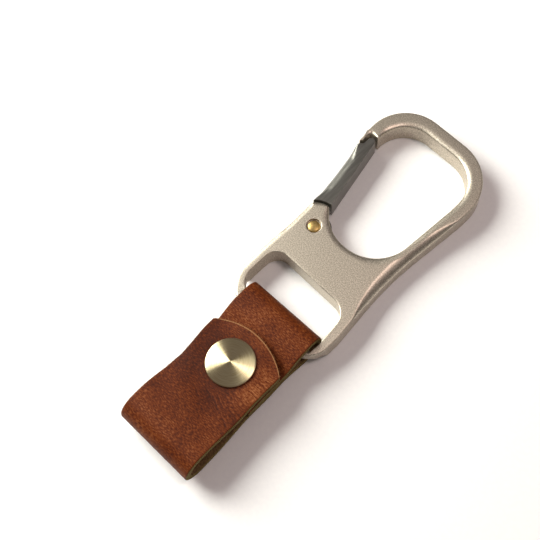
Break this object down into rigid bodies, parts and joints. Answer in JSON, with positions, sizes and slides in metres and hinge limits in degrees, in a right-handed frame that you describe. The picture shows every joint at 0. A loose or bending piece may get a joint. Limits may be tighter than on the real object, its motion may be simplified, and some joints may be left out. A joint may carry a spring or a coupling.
{
  "type": "keychain bottle opener",
  "caption": "Flat cast carabiner with a sprung gate and a slot that opens bottles, hung on a leather belt loop that closes with a brass press stud.",
  "frame": {"origin": "on the frame's flat back face, under the middle of the waist plate", "axes": "+Z out of the front face, +Y towards the far end of the hook loop, -X towards the gate"},
  "size_m": [0.0404, 0.1273, 0.0116],
  "materials": {
    "satin_nickel": "bead-blasted satin nickel on a zinc casting",
    "gunmetal": "dark gunmetal plating, lightly satin",
    "brass": "turned and polished",
    "spring_steel": "drawn wire",
    "leather": "tan pull-up leather with raw edges"
  },
  "bodies": {
    "frame": {"body": "satin_nickel", "gate_pin": "brass", "gate_spring": "spring_steel"},
    "gate": {"gate": "gunmetal"},
    "strap": {"strap_back": "leather", "snap_stud": "brass", "snap_post": "brass"},
    "tongue": {"strap_tongue": "leather", "snap_cap": "brass", "snap_socket": "brass", "snap_ring": "spring_steel"}
  },
  "joints": [
    {"name": "gate_hinge", "type": "hinge", "parent": "frame", "child": "gate", "pos_m": [-0.0111, 0.00525, 0.0036], "axis": [0, 0, -1], "range_deg": [0, 28], "stiffness_Nm_per_rad": 0.02, "springref_deg": -22.92, "deforming": ["gate_spring"]},
    {"name": "strap_swing", "type": "hinge", "parent": "frame", "child": "strap", "pos_m": [0, -0.0245, 0.0051], "axis": [1, 0, 0], "range_deg": [-100, 100]},
    {"name": "tongue_open", "type": "hinge", "parent": "strap", "child": "tongue", "pos_m": [0.00431, -0.07011, 0.0055], "axis": [0.9991, 0.0419, 0], "range_deg": [0, 75]}
  ]
}
